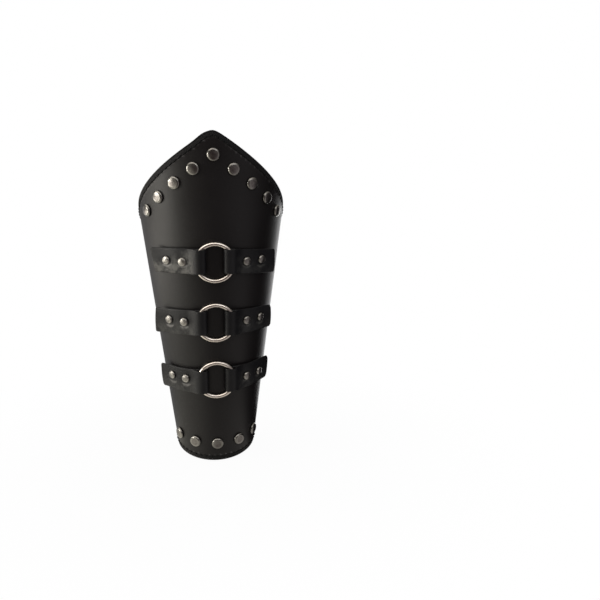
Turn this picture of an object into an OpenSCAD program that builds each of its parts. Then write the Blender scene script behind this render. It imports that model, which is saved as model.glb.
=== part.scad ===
// Forearm bracer of stiff leather, laced up the back.
// The front carries three rows of an O-ring held between two folded tabs,
// a row of cap rivets below the pointed elbow edge and another above the wrist.
// Millimetres. +Z runs up the forearm to the elbow point and the rings face -Y.
// The origin is on the forearm's axis, level with the lowest point of the wrist edge.

/* [Leather shell] */
// Height from the wrist edge's lowest point to the elbow point
length = 250; // [200:1:300]
// Outer radius of the leather at the wrist end
wrist_r = 30.3; // [25:0.5:38]
// Angle at which the shell opens towards the elbow
taper = 7.5; // [6:0.1:11]
// Thickness of the outer leather
body_t = 1.8; // [1.4:0.1:2.6]
// Thickness of the lining leather
lining_t = 1.0; // [0.8:0.1:1.6]
// Angle left open at the back for the lacing
back_gap = 56; // [40:1:80]

/* [Edges] */
// Fall of the elbow edge for each millimetre along the leather
peak_slope = 0.645; // [0.4:0.005:0.8]
// Radius to which the elbow point is rounded
peak_r = 3; // [1:0.5:8]
// Fall from the sides of the elbow edge to its level back
back_drop = 7; // [3:0.5:12]
// Angle over which the elbow edge levels out behind the sides
back_ease = 25; // [15:1:40]
// Rise of the wrist edge from the front to the sides
wrist_rise = 8; // [4:0.5:16]
// Radius of the four corners at the lacing
corner_r = 8; // [4:0.5:12]

/* [Rings and tabs] */
// Height of the ring next to the wrist
first_row_z = 68.9; // [60:0.5:76]
// Height from one ring to the next
row_pitch = 45; // [38:0.1:50]
// Radius of a ring's wire centreline
ring_r = 13.6; // [12:0.2:16]
// Radius of the ring wire
wire_r = 1.5; // [1.2:0.05:2]
// Height of a tab
tab_w = 17.5; // [12:0.5:19]
// Thickness of the tab leather
tab_t = 1.35; // [1:0.05:1.8]
// Free space between a ring and its tabs
ring_slack = 0.35; // [0.3:0.05:0.6]
// Distance along the leather from the front line to the inner tab rivet
tab_rivet_1 = 22.7; // [22:0.1:28]
// Distance along the leather from the front line to the outer tab rivet
tab_rivet_2 = 35.5; // [33:0.1:42]
// Distance along the leather from the front line to the folded-under end
tab_under = 40; // [39:0.5:43]
// Distance along the leather from the front line to the free end
tab_end = 46.5; // [44:0.5:54]
// Bend that brings the tab from over the ring down to the leather
tab_bend = 60; // [50:1:70]

/* [Rivets] */
// Radius of the border rivets' caps
cap_r = 4.6; // [4:0.1:6]
// Height of the border rivets' caps
cap_h = 2.2; // [1.6:0.1:3]
// Radius of the tab rivets' caps
small_cap_r = 3.2; // [2.6:0.1:4]
// Height of the tab rivets' caps
small_cap_h = 2.1; // [1.4:0.1:2.4]
// Radius of a rivet's hollow shank
shank_r = 1.6; // [1.3:0.05:1.9]
// Wall of the hollow shank
shank_wall = 0.5; // [0.4:0.05:0.6]
// Height of the rivet base that lies on the lining
base_h = 0.9; // [0.6:0.1:1.4]
// Rivets on each slope of the elbow edge, beside the one under the point
slope_rivets = 4; // [2:1:5]
// Distance round the leather between neighbouring elbow rivets
slope_pitch = 14.3; // [13:0.1:17]
// Distance from the elbow point down to the first rivet
peak_inset = 16; // [13:0.5:22]
// Rivets on each side of the wrist row's middle one
wrist_rivets = 2; // [1:1:3]
// Fall of the elbow rivet row for each millimetre along the leather
row_slope = 0.665; // [0.4:0.005:0.8]
// Distance round the leather between neighbouring wrist rivets
wrist_pitch = 17.8; // [14:0.1:20]
// Distance from the wrist edge to its rivets
wrist_inset = 14.8; // [10:0.2:18]

/* [Lacing] */
// Eyelets on each lacing edge
eyelets = 6; // [4:1:8]
// Distance from the lacing edge to the eyelets' centres
eyelet_inset = 9; // [7:0.5:12]
// Distance along the shell from its ends to the nearest eyelets
eyelet_end = 12; // [9:0.5:20]
// Radius of an eyelet's hole
eyelet_r = 2.4; // [1.8:0.1:3]
// Wall of an eyelet's barrel
eyelet_wall = 0.4; // [0.3:0.05:0.6]
// Radius of an eyelet's flange
flange_r = 4.4; // [3.8:0.1:5.4]
// Height of an eyelet's rolled flange
flange_h = 1.1; // [0.8:0.1:1.5]
// Thickness of the washer behind an eyelet
washer_t = 0.5; // [0.4:0.05:0.8]

/* [Build] */

/* [Hidden] */
$fn = 96;
// clearance between pieces that lie on each other
lay = 0.05;
// clearance round a pin, shank or barrel in its hole
fit = 0.1;
// overlap that makes a cut run clean through
over = 1;
k = tan(taper);
half_wrap = 180 - back_gap / 2;
lining_d = -body_t - lay;
inside_d = lining_d - lining_t;
wrist_row_z = first_row_z;
middle_row_z = first_row_z + row_pitch;
top_row_z = first_row_z + 2 * row_pitch;
// depths to which the cut along an edge reaches inside and outside the leather's face
inner_reach = body_t + lining_t + 4;
outer_reach = 4;

leather = [0.13, 0.12, 0.12];
tab_leather = [0.15, 0.15, 0.17];
lining_leather = [0.22, 0.17, 0.14];
nickel = [0.72, 0.70, 0.67];
gunmetal = [0.42, 0.39, 0.37];

// outer radius of the leather at a height
function rad(z) = wrist_r + k * z;
// radians
function arc(deg) = deg * PI / 180;
// angle from the front line to a distance along the leather at a height
function turn(s, z) = s / rad(z) * 180 / PI;

// height of the elbow edge on the front, at an angle from the front line
function slope_z(s) = length - peak_slope * (sqrt(s * s + peak_r * peak_r) - peak_r);
function front_z(a, z, n = 9) = n == 0 ? z : front_z(a, slope_z(rad(z) * arc(a)), n - 1);
side_z = front_z(90, length);
back_z = side_z - back_drop;
// height of the elbow edge behind the sides, easing down to its level back
function ease(a) = 1 - pow(1 - min((a - 90) / back_ease, 1), 2);
function elbow_z(a) = a < 90 ? front_z(a, length) : side_z - back_drop * ease(a);
// height of the wrist edge: a slanting cut that flattens behind the sides
function wrist_z(a) = wrist_rise * (1 - cos(a) - (a > 90 ? pow(cos(a), 2) / 2 : 0));
wrist_back_z = wrist_z(half_wrap);

// how far a rounded corner draws an edge back, at an angle, near a lacing edge
function from_lacing(a, z) = arc(arc_end - a) * rad(z);
function drawn(s) = s < corner_r ? corner_r - sqrt(max(0, corner_r * corner_r - pow(corner_r - s, 2))) : 0;

// children placed on the leather: X along it, Y up it, Z straight out of it
module on(a, z, d = 0) {
    rotate([0, 0, a])
        translate([0, -rad(z), z])
            rotate([90 + taper, 0, 0])
                translate([0, 0, d])
                    children();
}

// solid cone whose side lies at a distance outside the leather
module cone_to(d) {
    low = -6 * over;
    high = length + 6 * over;
    translate([0, 0, low])
        cylinder(h = high - low, r1 = rad(low) + d / cos(taper), r2 = rad(high) + d / cos(taper));
}

// layer of the wrapped shell between two distances from the leather's face
module layer(inner, outer) {
    low = -over;
    high = length + over;
    rotate([0, 0, -90 - half_wrap])
        rotate_extrude(angle = 2 * half_wrap)
            polygon([
                [rad(low) + inner / cos(taper), low],
                [rad(low) + outer / cos(taper), low],
                [rad(high) + outer / cos(taper), high],
                [rad(high) + inner / cos(taper), high],
            ]);
}

// point at an angle and height on the leather, moved out of it by d
function point(a, z, d) = [
    (rad(z) + d * cos(taper)) * sin(a),
    -(rad(z) + d * cos(taper)) * cos(a),
    z - d * sin(taper),
];

// angles at which the edges are cut, closer together at the corners;
// the corners' arcs end just past the lacing edges, so that they cut clean across them
arc_end = half_wrap + 0.2;
corner_a = turn(corner_r, (wrist_back_z + back_z) / 2);
half_angles = concat(
    [for (i = [0:31]) i * (arc_end - corner_a) / 32],
    [for (i = [0:8]) arc_end - corner_a * cos(i * 90 / 8)],
    [arc_end + 2]
);
edge_angles = concat(
    [for (i = [len(half_angles) - 1:-1:1]) -half_angles[i]],
    half_angles
);

// waste beyond an edge: a band whose cut face stands square to the leather
module waste(up) {
    n = len(edge_angles);
    heights = [for (a = edge_angles)
        let (b = min(abs(a), arc_end), z = up ? elbow_z(b) : wrist_z(b))
        z + (up ? -1 : 1) * drawn(from_lacing(b, z))];
    far = up ? length + 20 : -20;
    points = [for (i = [0:n - 1]) each [
        point(edge_angles[i], heights[i], -inner_reach),
        point(edge_angles[i], heights[i], outer_reach),
        point(edge_angles[i], far, outer_reach),
        point(edge_angles[i], far, -inner_reach),
    ]];
    sides = [for (i = [0:n - 2]) each [for (j = [0:3]) each
        let (p = 4 * i + j, q = 4 * i + (j + 1) % 4)
        up ? [[p, q, q + 4], [p, q + 4, p + 4]] : [[q, p, q + 4], [p, p + 4, q + 4]]]];
    last = 4 * (n - 1);
    ends = up ? [[3, 2, 1, 0], [last, last + 1, last + 2, last + 3]]
        : [[0, 1, 2, 3], [last + 3, last + 2, last + 1, last]];
    polyhedron(points = points, faces = concat(sides, ends), convexity = 6);
}
// places of the border rivets: angle and height
function slope_row_z(s) = length - peak_inset - row_slope * abs(s);
slope_places = [for (i = [-slope_rivets:slope_rivets])
    let (s = i * slope_pitch, z = slope_row_z(s))
    [turn(s, z), z]];
wrist_places = [for (i = [-wrist_rivets:wrist_rivets])
    let (a = turn(i * wrist_pitch, wrist_inset), z = wrist_z(abs(a)) + wrist_inset)
    [turn(i * wrist_pitch, z), z]];

// a tab lies straight, so it climbs the cone a little on its way round
function climb(a, z) = rad(z) * sin(taper) * (1 - cos(a)) / (cos(taper) + k * sin(taper) * cos(a));
function tab_place(s, z) = let (a = turn(s, z)) [a, z + climb(abs(a), z)];
function tab_places(z) = [for (s = [-tab_rivet_2, -tab_rivet_1, tab_rivet_1, tab_rivet_2]) tab_place(s, z)];

// places of the eyelets down one lacing edge
lace_low = wrist_back_z + eyelet_end;
lace_high = back_z - eyelet_end;
lace_places = [for (i = [0:eyelets - 1])
    let (z = lace_low + i * (lace_high - lace_low) / (eyelets - 1))
    [half_wrap - turn(eyelet_inset, z), z]];

module holes(places, r) {
    for (p = places)
        on(p[0], p[1], inside_d - 2 * over)
            cylinder(h = -inside_d + 4 * over, r = r, $fn = 48);
}

module all_holes() {
    holes(slope_places, shank_r + fit);
    holes(wrist_places, shank_r + fit);
    for (z = [wrist_row_z, middle_row_z, top_row_z])
        holes(tab_places(z), shank_r + fit);
    for (side = [0, 1])
        mirror([side, 0, 0])
            holes(lace_places, eyelet_r + eyelet_wall + fit);
}

module leather_body() {
    color(leather)
        difference() {
            layer(-body_t, 0);
            waste(true);
            waste(false);
            all_holes();
        }
}

module lining() {
    color(lining_leather)
        difference() {
            layer(inside_d, lining_d);
            waste(true);
            waste(false);
            all_holes();
        }
}

// Rings and tabs

fold_r = wire_r + ring_slack;
// inner end of the fold, just clear of the wire where it leaves the tab
fold_x = sqrt(pow(ring_r - wire_r, 2) - pow(tab_w / 2, 2)) - ring_slack + fold_r;
// radius of the leather as the tab wraps it
function bend_r(z) = rad(z) / cos(taper);
// height of the ring's plane over the front line, with the fold resting on the leather
function ring_d(z) = sqrt(pow(bend_r(z) + fold_r + tab_t + 2 * lay, 2) - fold_x * fold_x) - bend_r(z);

module ring(z, seam) {
    color(nickel)
        on(0, z, ring_d(z))
            difference() {
                rotate_extrude($fn = 96)
                    translate([ring_r, 0])
                        circle(r = wire_r, $fn = 48);
                rotate([0, 0, seam])
                    translate([ring_r, 0, 0])
                        rotate([90, 0, 0])
                            difference() {
                                cylinder(h = 0.3, r = wire_r + over, center = true, $fn = 48);
                                cylinder(h = over, r = wire_r - 0.12, center = true, $fn = 48);
                            }
            }
}

// layers of a tab: its underside, the face between its layers and its outer face
tab_sole = lay;
tab_mid = tab_sole + tab_t;
tab_top = tab_mid + tab_t;
// where a tab's loop has come down to the leather
loop_end = ring_r + 8;
// depth that a tab's outlines reach below the front line
drop = 12;

// children drawn square to the front line at a height: X round the leather, Y out of it
module section(z, w) {
    on(0, z)
        rotate([90, 0, 0])
            linear_extrude(height = w, center = true)
                children();
}

// outline of a tab's way over the ring, at a distance r from the wire's centre
module loop(z, r) {
    translate([0, ring_d(z)]) {
        translate([fold_x, 0])
            circle(r = r, $fn = 64);
        translate([fold_x, -drop])
            square([ring_r - fold_x, r + drop]);
        translate([ring_r, 0])
            circle(r = r, $fn = 64);
        translate([ring_r, 0])
            rotate(-tab_bend)
                translate([0, r - drop])
                    square([drop, drop]);
    }
}

// sector of the leather's section from the ramp to a distance s along it
module sector(z, s0, s1) {
    reach = bend_r(z) + 12;
    b = s0 / bend_r(z) * 180 / PI;
    e = s1 / bend_r(z) * 180 / PI;
    translate([0, -bend_r(z)])
        polygon([
            [0, 0],
            [reach * sin(b), reach * cos(b)],
            [reach / cos((e - b) / 2) * sin((b + e) / 2), reach / cos((e - b) / 2) * cos((b + e) / 2)],
            [reach * sin(e), reach * cos(e)],
        ]);
}

module tab(z, side) {
    color(tab_leather)
        mirror([side < 0 ? 1 : 0, 0, 0])
            difference() {
                union() {
                    // the fold round the ring and the way down from it
                    section(z, tab_w)
                        intersection() {
                            loop(z, fold_r + tab_t);
                            translate([0, -drop])
                                square([loop_end, 2 * drop]);
                        }
                    // the part that lies on the leather, two layers thick
                    intersection() {
                        cone_to(tab_top);
                        section(z, tab_w)
                            sector(z, loop_end - 3 * over, tab_under);
                    }
                    // the outer layer's free end, which stands straight out from the outer rivet
                    intersection() {
                        section(z, tab_w)
                            sector(z, loop_end - 3 * over, tab_end);
                        let (place = tab_place(tab_rivet_2, z))
                            on(place[0], place[1], tab_mid)
                                translate([0, -tab_w, 0])
                                    cube([tab_end, 2 * tab_w, tab_t]);
                    }
                }
                cone_to(tab_sole);
                // the space that the ring turns in
                difference() {
                    section(z, tab_w + over)
                        loop(z, fold_r);
                    cone_to(tab_mid);
                }
                for (s = [tab_rivet_1, tab_rivet_2])
                    let (place = tab_place(s, z))
                        on(place[0], place[1], -over)
                            cylinder(h = 4 * tab_t + over, r = shank_r + fit, $fn = 48);
            }
}

// Rivets

// head of a cap rivet: a flat dome inside a rounded rim, standing on Z = 0
module head(r, h) {
    rim = 0.45 * h;
    rise = h - 2 * rim;
    dome = (pow(r - rim, 2) + rise * rise) / (2 * rise);
    rotate_extrude($fn = 64) {
        translate([r - rim, rim])
            circle(r = rim, $fn = 32);
        intersection() {
            translate([0, h - dome])
                circle(r = dome, $fn = 360);
            square([r - rim, h]);
        }
    }
}

// distance at which a flat disc rests inside the lining
function seat_d(z, r) = let (c = (rad(z - r) + inside_d) / cos(taper))
    inside_d - lay - (c - sqrt(c * c - r * r));

// cap and hollow shank, with the cap's underside at d
module rivet_caps(places, d, r, h) {
    for (p = places)
        on(p[0], p[1], d + lay) {
            head(r, h);
            length_in = d + lay - seat_d(p[1], base_r(r)) - lay;
            translate([0, 0, -length_in])
                difference() {
                    cylinder(h = length_in + h / 4, r = shank_r, $fn = 48);
                    translate([0, 0, -over])
                        cylinder(h = length_in + over, r = shank_r - shank_wall, $fn = 48);
                }
        }
}

function base_r(r) = 0.88 * r;

// base inside the lining, with the pin that spreads in the shank
module rivet_posts(places, d, r) {
    pin_r = shank_r - shank_wall - lay;
    for (p = places)
        on(p[0], p[1], seat_d(p[1], base_r(r))) {
            translate([0, 0, -base_h])
                rotate_extrude($fn = 64) {
                    translate([0, base_h / 2])
                        square([base_r(r), base_h / 2]);
                    square([base_r(r) - base_h / 2, base_h]);
                    translate([base_r(r) - base_h / 2, base_h / 2])
                        circle(r = base_h / 2, $fn = 32);
                }
            translate([0, 0, -base_h / 2])
                cylinder(h = d - seat_d(p[1], base_r(r)) + base_h / 2 - lay, r = pin_r, $fn = 48);
        }
}

// Lacing eyelets

barrel_r = eyelet_r + eyelet_wall;
// domed ring whose section is a segment of a circle
module roll(inner, outer, h) {
    half = (outer - inner) / 2;
    bend = (half * half + h * h) / (2 * h);
    rotate_extrude($fn = 64)
        intersection() {
            translate([inner + half, h - bend])
                circle(r = bend, $fn = 64);
            translate([inner, 0])
                square([2 * half, h]);
        }
}

module eyelet_row(side) {
    mirror([side < 0 ? 1 : 0, 0, 0])
        for (p = lace_places) {
            back = seat_d(p[1], flange_r) - washer_t - lay;
            color(gunmetal)
                on(p[0], p[1]) {
                    translate([0, 0, lay])
                        roll(eyelet_r, flange_r, flange_h);
                    translate([0, 0, back - eyelet_wall])
                        difference() {
                            cylinder(h = -back + eyelet_wall + flange_h / 2, r = barrel_r, $fn = 64);
                            translate([0, 0, -over])
                                cylinder(h = -back + flange_h + 2 * over, r = eyelet_r, $fn = 64);
                        }
                    translate([0, 0, back])
                        rotate([180, 0, 0])
                            roll(eyelet_r, barrel_r + 2 * eyelet_wall, 2 * eyelet_wall);
                }
        }
}

module washer_row(side) {
    color(gunmetal)
        mirror([side < 0 ? 1 : 0, 0, 0])
            for (p = lace_places)
                on(p[0], p[1], seat_d(p[1], flange_r) - washer_t)
                    difference() {
                        cylinder(h = washer_t, r = flange_r, $fn = 64);
                        translate([0, 0, -over])
                            cylinder(h = washer_t + 2 * over, r = barrel_r + fit, $fn = 64);
                    }
}

module top_ring() ring(top_row_z, 90);
module middle_ring() ring(middle_row_z, 200);
module wrist_ring() ring(wrist_row_z, 74);

module top_left_tab() tab(top_row_z, -1);
module top_right_tab() tab(top_row_z, 1);
module middle_left_tab() tab(middle_row_z, -1);
module middle_right_tab() tab(middle_row_z, 1);
module wrist_left_tab() tab(wrist_row_z, -1);
module wrist_right_tab() tab(wrist_row_z, 1);

module point_rivet_caps() color(gunmetal) rivet_caps(slope_places, 0, cap_r, cap_h);
module point_rivet_posts() color(nickel) rivet_posts(slope_places, 0, cap_r);
module wrist_rivet_caps() color(gunmetal) rivet_caps(wrist_places, 0, cap_r, cap_h);
module wrist_rivet_posts() color(nickel) rivet_posts(wrist_places, 0, cap_r);

module tab_rivet_caps(z) color(gunmetal) rivet_caps(tab_places(z), tab_top, small_cap_r, small_cap_h);
module tab_rivet_posts(z) color(nickel) rivet_posts(tab_places(z), tab_top, small_cap_r);
module top_tab_rivet_caps() tab_rivet_caps(top_row_z);
module top_tab_rivet_posts() tab_rivet_posts(top_row_z);
module middle_tab_rivet_caps() tab_rivet_caps(middle_row_z);
module middle_tab_rivet_posts() tab_rivet_posts(middle_row_z);
module wrist_tab_rivet_caps() tab_rivet_caps(wrist_row_z);
module wrist_tab_rivet_posts() tab_rivet_posts(wrist_row_z);

module left_eyelets() eyelet_row(-1);
module right_eyelets() eyelet_row(1);
module left_eyelet_washers() washer_row(-1);
module right_eyelet_washers() washer_row(1);

leather_body();
lining();
top_ring();
middle_ring();
wrist_ring();
top_left_tab();
top_right_tab();
middle_left_tab();
middle_right_tab();
wrist_left_tab();
wrist_right_tab();
point_rivet_caps();
point_rivet_posts();
wrist_rivet_caps();
wrist_rivet_posts();
top_tab_rivet_caps();
top_tab_rivet_posts();
middle_tab_rivet_caps();
middle_tab_rivet_posts();
wrist_tab_rivet_caps();
wrist_tab_rivet_posts();
left_eyelets();
right_eyelets();
left_eyelet_washers();
right_eyelet_washers();
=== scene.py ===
"""Looks of the forearm bracer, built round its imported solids."""

import math

import bmesh
import bpy
import numpy as np
from mathutils import Matrix, Vector, kdtree, noise


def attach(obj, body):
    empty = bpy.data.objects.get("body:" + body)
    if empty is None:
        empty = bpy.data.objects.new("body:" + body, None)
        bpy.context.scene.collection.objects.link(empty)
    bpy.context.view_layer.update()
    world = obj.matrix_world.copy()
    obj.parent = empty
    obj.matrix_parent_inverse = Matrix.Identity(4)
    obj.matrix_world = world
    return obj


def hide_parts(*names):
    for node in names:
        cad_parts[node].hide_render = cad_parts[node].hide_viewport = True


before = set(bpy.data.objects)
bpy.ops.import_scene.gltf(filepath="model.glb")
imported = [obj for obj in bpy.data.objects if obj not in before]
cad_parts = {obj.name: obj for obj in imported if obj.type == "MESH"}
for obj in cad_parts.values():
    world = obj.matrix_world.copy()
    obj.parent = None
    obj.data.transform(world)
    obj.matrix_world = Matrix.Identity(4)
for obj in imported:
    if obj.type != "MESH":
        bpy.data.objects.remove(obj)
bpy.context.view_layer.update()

# Outer leather.
# One piece of black full-grain leather, cut flat, stitched to its lining along the whole edge
# and rolled to a cone that stays open at the back. The edge is rounded and burnished.

wrist_r, taper, length = 0.0303, math.radians(7.5), 0.250
opening = math.tan(taper)
half_wrap = math.radians(152)
leather_t = 0.0018
corner_r = 0.008
point_inset, row_slope, slope_pitch = 0.016, 0.665, 0.0143
wrist_inset, wrist_pitch = 0.0148, 0.0178


def radius(z):
    """Radius of the leather's face at a height."""
    return wrist_r + opening * z


def skin(a, z, d):
    """Points at angles and heights on the leather's face, a distance d out of it."""
    r = radius(z) + d * math.cos(taper)
    return np.stack([r * np.sin(a), -r * np.cos(a), z - d * math.sin(taper) + 0 * r], -1)


def to_flat(a, z):
    """Where an angle and height lie on the leather before it is rolled, apex at the origin."""
    reach = radius(z) / math.sin(taper)
    return np.stack([reach * np.sin(a * math.sin(taper)), reach * np.cos(a * math.sin(taper))], -1)


def roll(flat, d):
    """Points of the flat cut rolled to the cone, a distance d out of the leather's face."""
    reach = np.hypot(flat[..., 0], flat[..., 1])
    a = np.arctan2(flat[..., 0], flat[..., 1]) / math.sin(taper)
    return skin(a, (reach * math.sin(taper) - wrist_r) / opening, d)


def elbow_z(a, slope=0.645, point=0.003, drop=0.007, ease=math.radians(25)):
    """Height of the elbow edge: two slopes from a point cut a little fuller on its left, then a level back."""
    def front(b):
        z = np.full_like(b, length)
        for _ in range(12):
            s = radius(z) * b
            z = length - slope * (np.sqrt(s * s + point * point) - point)
        return z
    fuller = 0.0010 * np.exp(-((a + 0.12) / 0.08) ** 2)
    a = np.abs(a)
    side = front(np.full_like(a, math.pi / 2))
    eased = 1 - (1 - np.clip((a - math.pi / 2) / ease, 0, 1)) ** 2
    return np.where(a < math.pi / 2, front(np.minimum(a, math.pi / 2)) + fuller, side - drop * eased)


def wrist_z(a, rise=0.008):
    """Height of the wrist edge: a slanting cut that flattens behind the sides."""
    c = np.cos(a)
    return rise * (1 - c - np.where(np.abs(a) > math.pi / 2, c * c / 2, 0))


def drawn(a, z):
    """How far the rounded corners draw an edge back near the lacing."""
    s = np.clip((half_wrap - np.abs(a)) * radius(z), 0, corner_r)
    return corner_r - np.sqrt(np.maximum(0, corner_r ** 2 - (corner_r - s) ** 2))


corner = corner_r / radius(0.1)
half_columns = np.concatenate([
    np.linspace(0, half_wrap - corner, 78),
    half_wrap - corner * np.array([0.93, 0.85, 0.77, 0.7, 0.62, 0.55, 0.48, 0.42,
                                   0.37, 0.32, 0.27, 0.22, 0.17, 0.11, 0.05, 0]),
])
columns = np.concatenate([-half_columns[:0:-1], half_columns])
bottom = wrist_z(columns) + drawn(columns, wrist_z(columns))
top = elbow_z(columns) - drawn(columns, elbow_z(columns))
near_edge = np.array([0, 0.9, 1.6, 2.2, 2.7, 3.0, 3.25, 3.5, 3.75, 4.05, 4.4, 4.8, 5.6, 7.2]) / 1000
slant = np.where(np.abs(columns) < math.pi / 2, math.hypot(1, 0.6), 1)


def cut_grid(step):
    """Rows of the flat cut that follow both edges, as columns of heights."""
    low, high = bottom[:, None] + near_edge, top[:, None] - (near_edge * slant[:, None])[:, ::-1]
    count = int(0.2 / step)
    between = low[:, -1:] + (high[:, :1] - low[:, -1:]) * np.linspace(0, 1, count + 1)[1:-1]
    return np.concatenate([low, between, high], 1)


heights = cut_grid(0.002)
cut = to_flat(np.repeat(columns[:, None], heights.shape[1], 1), heights)
wide, tall = heights.shape
loop = [(i, 0) for i in range(wide)] + [(wide - 1, j) for j in range(1, tall)]
loop += [(i, tall - 1) for i in range(wide - 2, -1, -1)] + [(0, j) for j in range(tall - 2, 0, -1)]
outline = np.array([cut[i, j] for i, j in loop])


def outward(path):
    """Normals of a closed flat path that runs anticlockwise."""
    along = np.roll(path, -1, 0) - np.roll(path, 1, 0)
    along /= np.linalg.norm(along, axis=1)[:, None]
    return np.stack([along[:, 1], -along[:, 0]], -1)


edge_out = outward(outline)
steps = np.linalg.norm(np.roll(outline, -1, 0) - outline, axis=1)
fine = np.concatenate([[outline[i] + (outline[(i + 1) % len(outline)] - outline[i]) * t
                        for t in np.arange(0, 1, 0.0004 / max(steps[i], 0.0004))] for i in range(len(outline))])
edge_tree = kdtree.KDTree(len(fine))
for i, (u, v) in enumerate(fine):
    edge_tree.insert((u, v, 0), i)
edge_tree.balance()
edge_run = np.concatenate([[0], np.cumsum(np.linalg.norm(np.diff(fine, axis=0), axis=1))])


def from_edge(flat):
    """Distance of flat points from the cut edge, and how far along the edge each one lies."""
    found = [edge_tree.find((u, v, 0))[1:] for u, v in flat.reshape(-1, 2)]
    gap = np.array([f[1] for f in found]).reshape(flat.shape[:-1])
    return gap, edge_run[[f[0] for f in found]].reshape(flat.shape[:-1])


def border_rivets():
    """Angle and height of the cap rivets below the elbow edge and above the wrist edge."""
    point, wrist = [], []
    for n in range(-4, 5):
        z = length - point_inset - row_slope * slope_pitch * abs(n)
        point.append((slope_pitch * n / radius(z), z))
    for n in range(-2, 3):
        z = float(wrist_z(np.array(wrist_pitch * n / radius(wrist_inset)))) + wrist_inset
        wrist.append((wrist_pitch * n / radius(z), z))
    return point, wrist


seam_gap = 0.0035
point_rivets, wrist_rivets = border_rivets()
rivet_flat = np.array([to_flat(np.array(a), np.array(z)) for a, z in point_rivets + wrist_rivets])


def face_height(flat):
    """Height of the outer face: soft unevenness, pared border, stitched channel, pull of the rivets."""
    t = from_edge(flat)[0]
    uneven = np.array([noise.noise(Vector((u * 16, v * 11, 3.1))) + 0.4 * noise.noise(Vector((u * 50, v * 40, 8)))
                       for u, v in flat.reshape(-1, 2)]).reshape(t.shape)
    h = 0.00016 * (uneven - 0.6)
    h -= 0.00052 * np.clip(1 - t / 0.0039, 0, 1) ** 1.3
    h -= 0.00024 * np.exp(-((t - seam_gap) / 0.00045) ** 2)
    h += 0.00012 * np.exp(-((t - 0.0044) / 0.0004) ** 2)
    for place in rivet_flat:
        h -= 0.00016 * np.exp(-(np.linalg.norm(flat - place, axis=-1) / 0.0065) ** 2)
    return h


def solid(name, points, faces, materials=(), slots=None):
    """A mesh object at the origin, its place in its points."""
    mesh = bpy.data.meshes.new(name)
    mesh.from_pydata([tuple(p) for p in points], [], faces)
    mesh.update()
    for m in materials:
        mesh.materials.append(m)
    if slots is not None:
        mesh.polygons.foreach_set("material_index", slots)
    mesh.polygons.foreach_set("use_smooth", [True] * len(mesh.polygons))
    obj = bpy.data.objects.new(name, mesh)
    bpy.context.scene.collection.objects.link(obj)
    return obj


def sheet_of(name, outer_d, inner_d, cut_round, materials, relief=None):
    """A closed sheet of leather between two depths, with a rounded cut edge."""
    boundary = outline - edge_out * cut_round
    flat = cut.copy()
    for (i, j), p in zip(loop, boundary):
        flat[i, j] = p
    outer = roll(flat, outer_d + (relief(flat) if relief else 0))
    inner = roll(flat, inner_d)
    points = [*outer.reshape(-1, 3), *inner.reshape(-1, 3)]
    faces, slots = [], []
    n = wide * tall
    for i in range(wide - 1):
        for j in range(tall - 1):
            a, b, c, e = i * tall + j, (i + 1) * tall + j, (i + 1) * tall + j + 1, i * tall + j + 1
            faces += [(a, b, c, e), (n + a, n + e, n + c, n + b)]
            slots += [0, 1]
    rings = [[i * tall + j for i, j in loop]]
    t = outer_d - inner_d
    for out, d in ((0.3, 0.0), (0.71, 0.12), (0.97, 0.5), (1, 1), (1, None), (0.97, -0.5), (0.71, -0.12), (0.3, 0.0)):
        depth = t / 2 if d is None else (cut_round * d if d >= 0 else t + cut_round * d)
        if out == 0.3 and len(rings) > 3:
            depth = t
        rings.append(list(range(len(points), len(points) + len(loop))))
        points += list(roll(boundary + edge_out * cut_round * out, outer_d - depth))
    rings.append([n + i * tall + j for i, j in loop])
    for low, high in zip(rings, rings[1:]):
        for q in range(len(loop)):
            p = (q + 1) % len(loop)
            faces.append((low[q], high[q], high[p], low[p]))
            slots.append(2)
    return solid(name, points, faces, materials, slots)


class Mark:
    """A number that changes over a surface, wrapped so that sums on it read as sums."""

    def __init__(self, finish, socket):
        self.finish, self.socket = finish, socket

    def joined(self, operation, a, b):
        return self.finish.add("ShaderNodeMath", {"operation": operation}, {0: a, 1: b})

    def __add__(self, other):
        return self.joined("ADD", self, other)

    def __sub__(self, other):
        return self.joined("SUBTRACT", self, other)

    def __rsub__(self, other):
        return self.joined("SUBTRACT", other, self)

    def __mul__(self, other):
        return self.joined("MULTIPLY", self, other)

    def __pow__(self, other):
        return self.joined("POWER", self, other)

    __radd__, __rmul__ = __add__, __mul__


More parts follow.
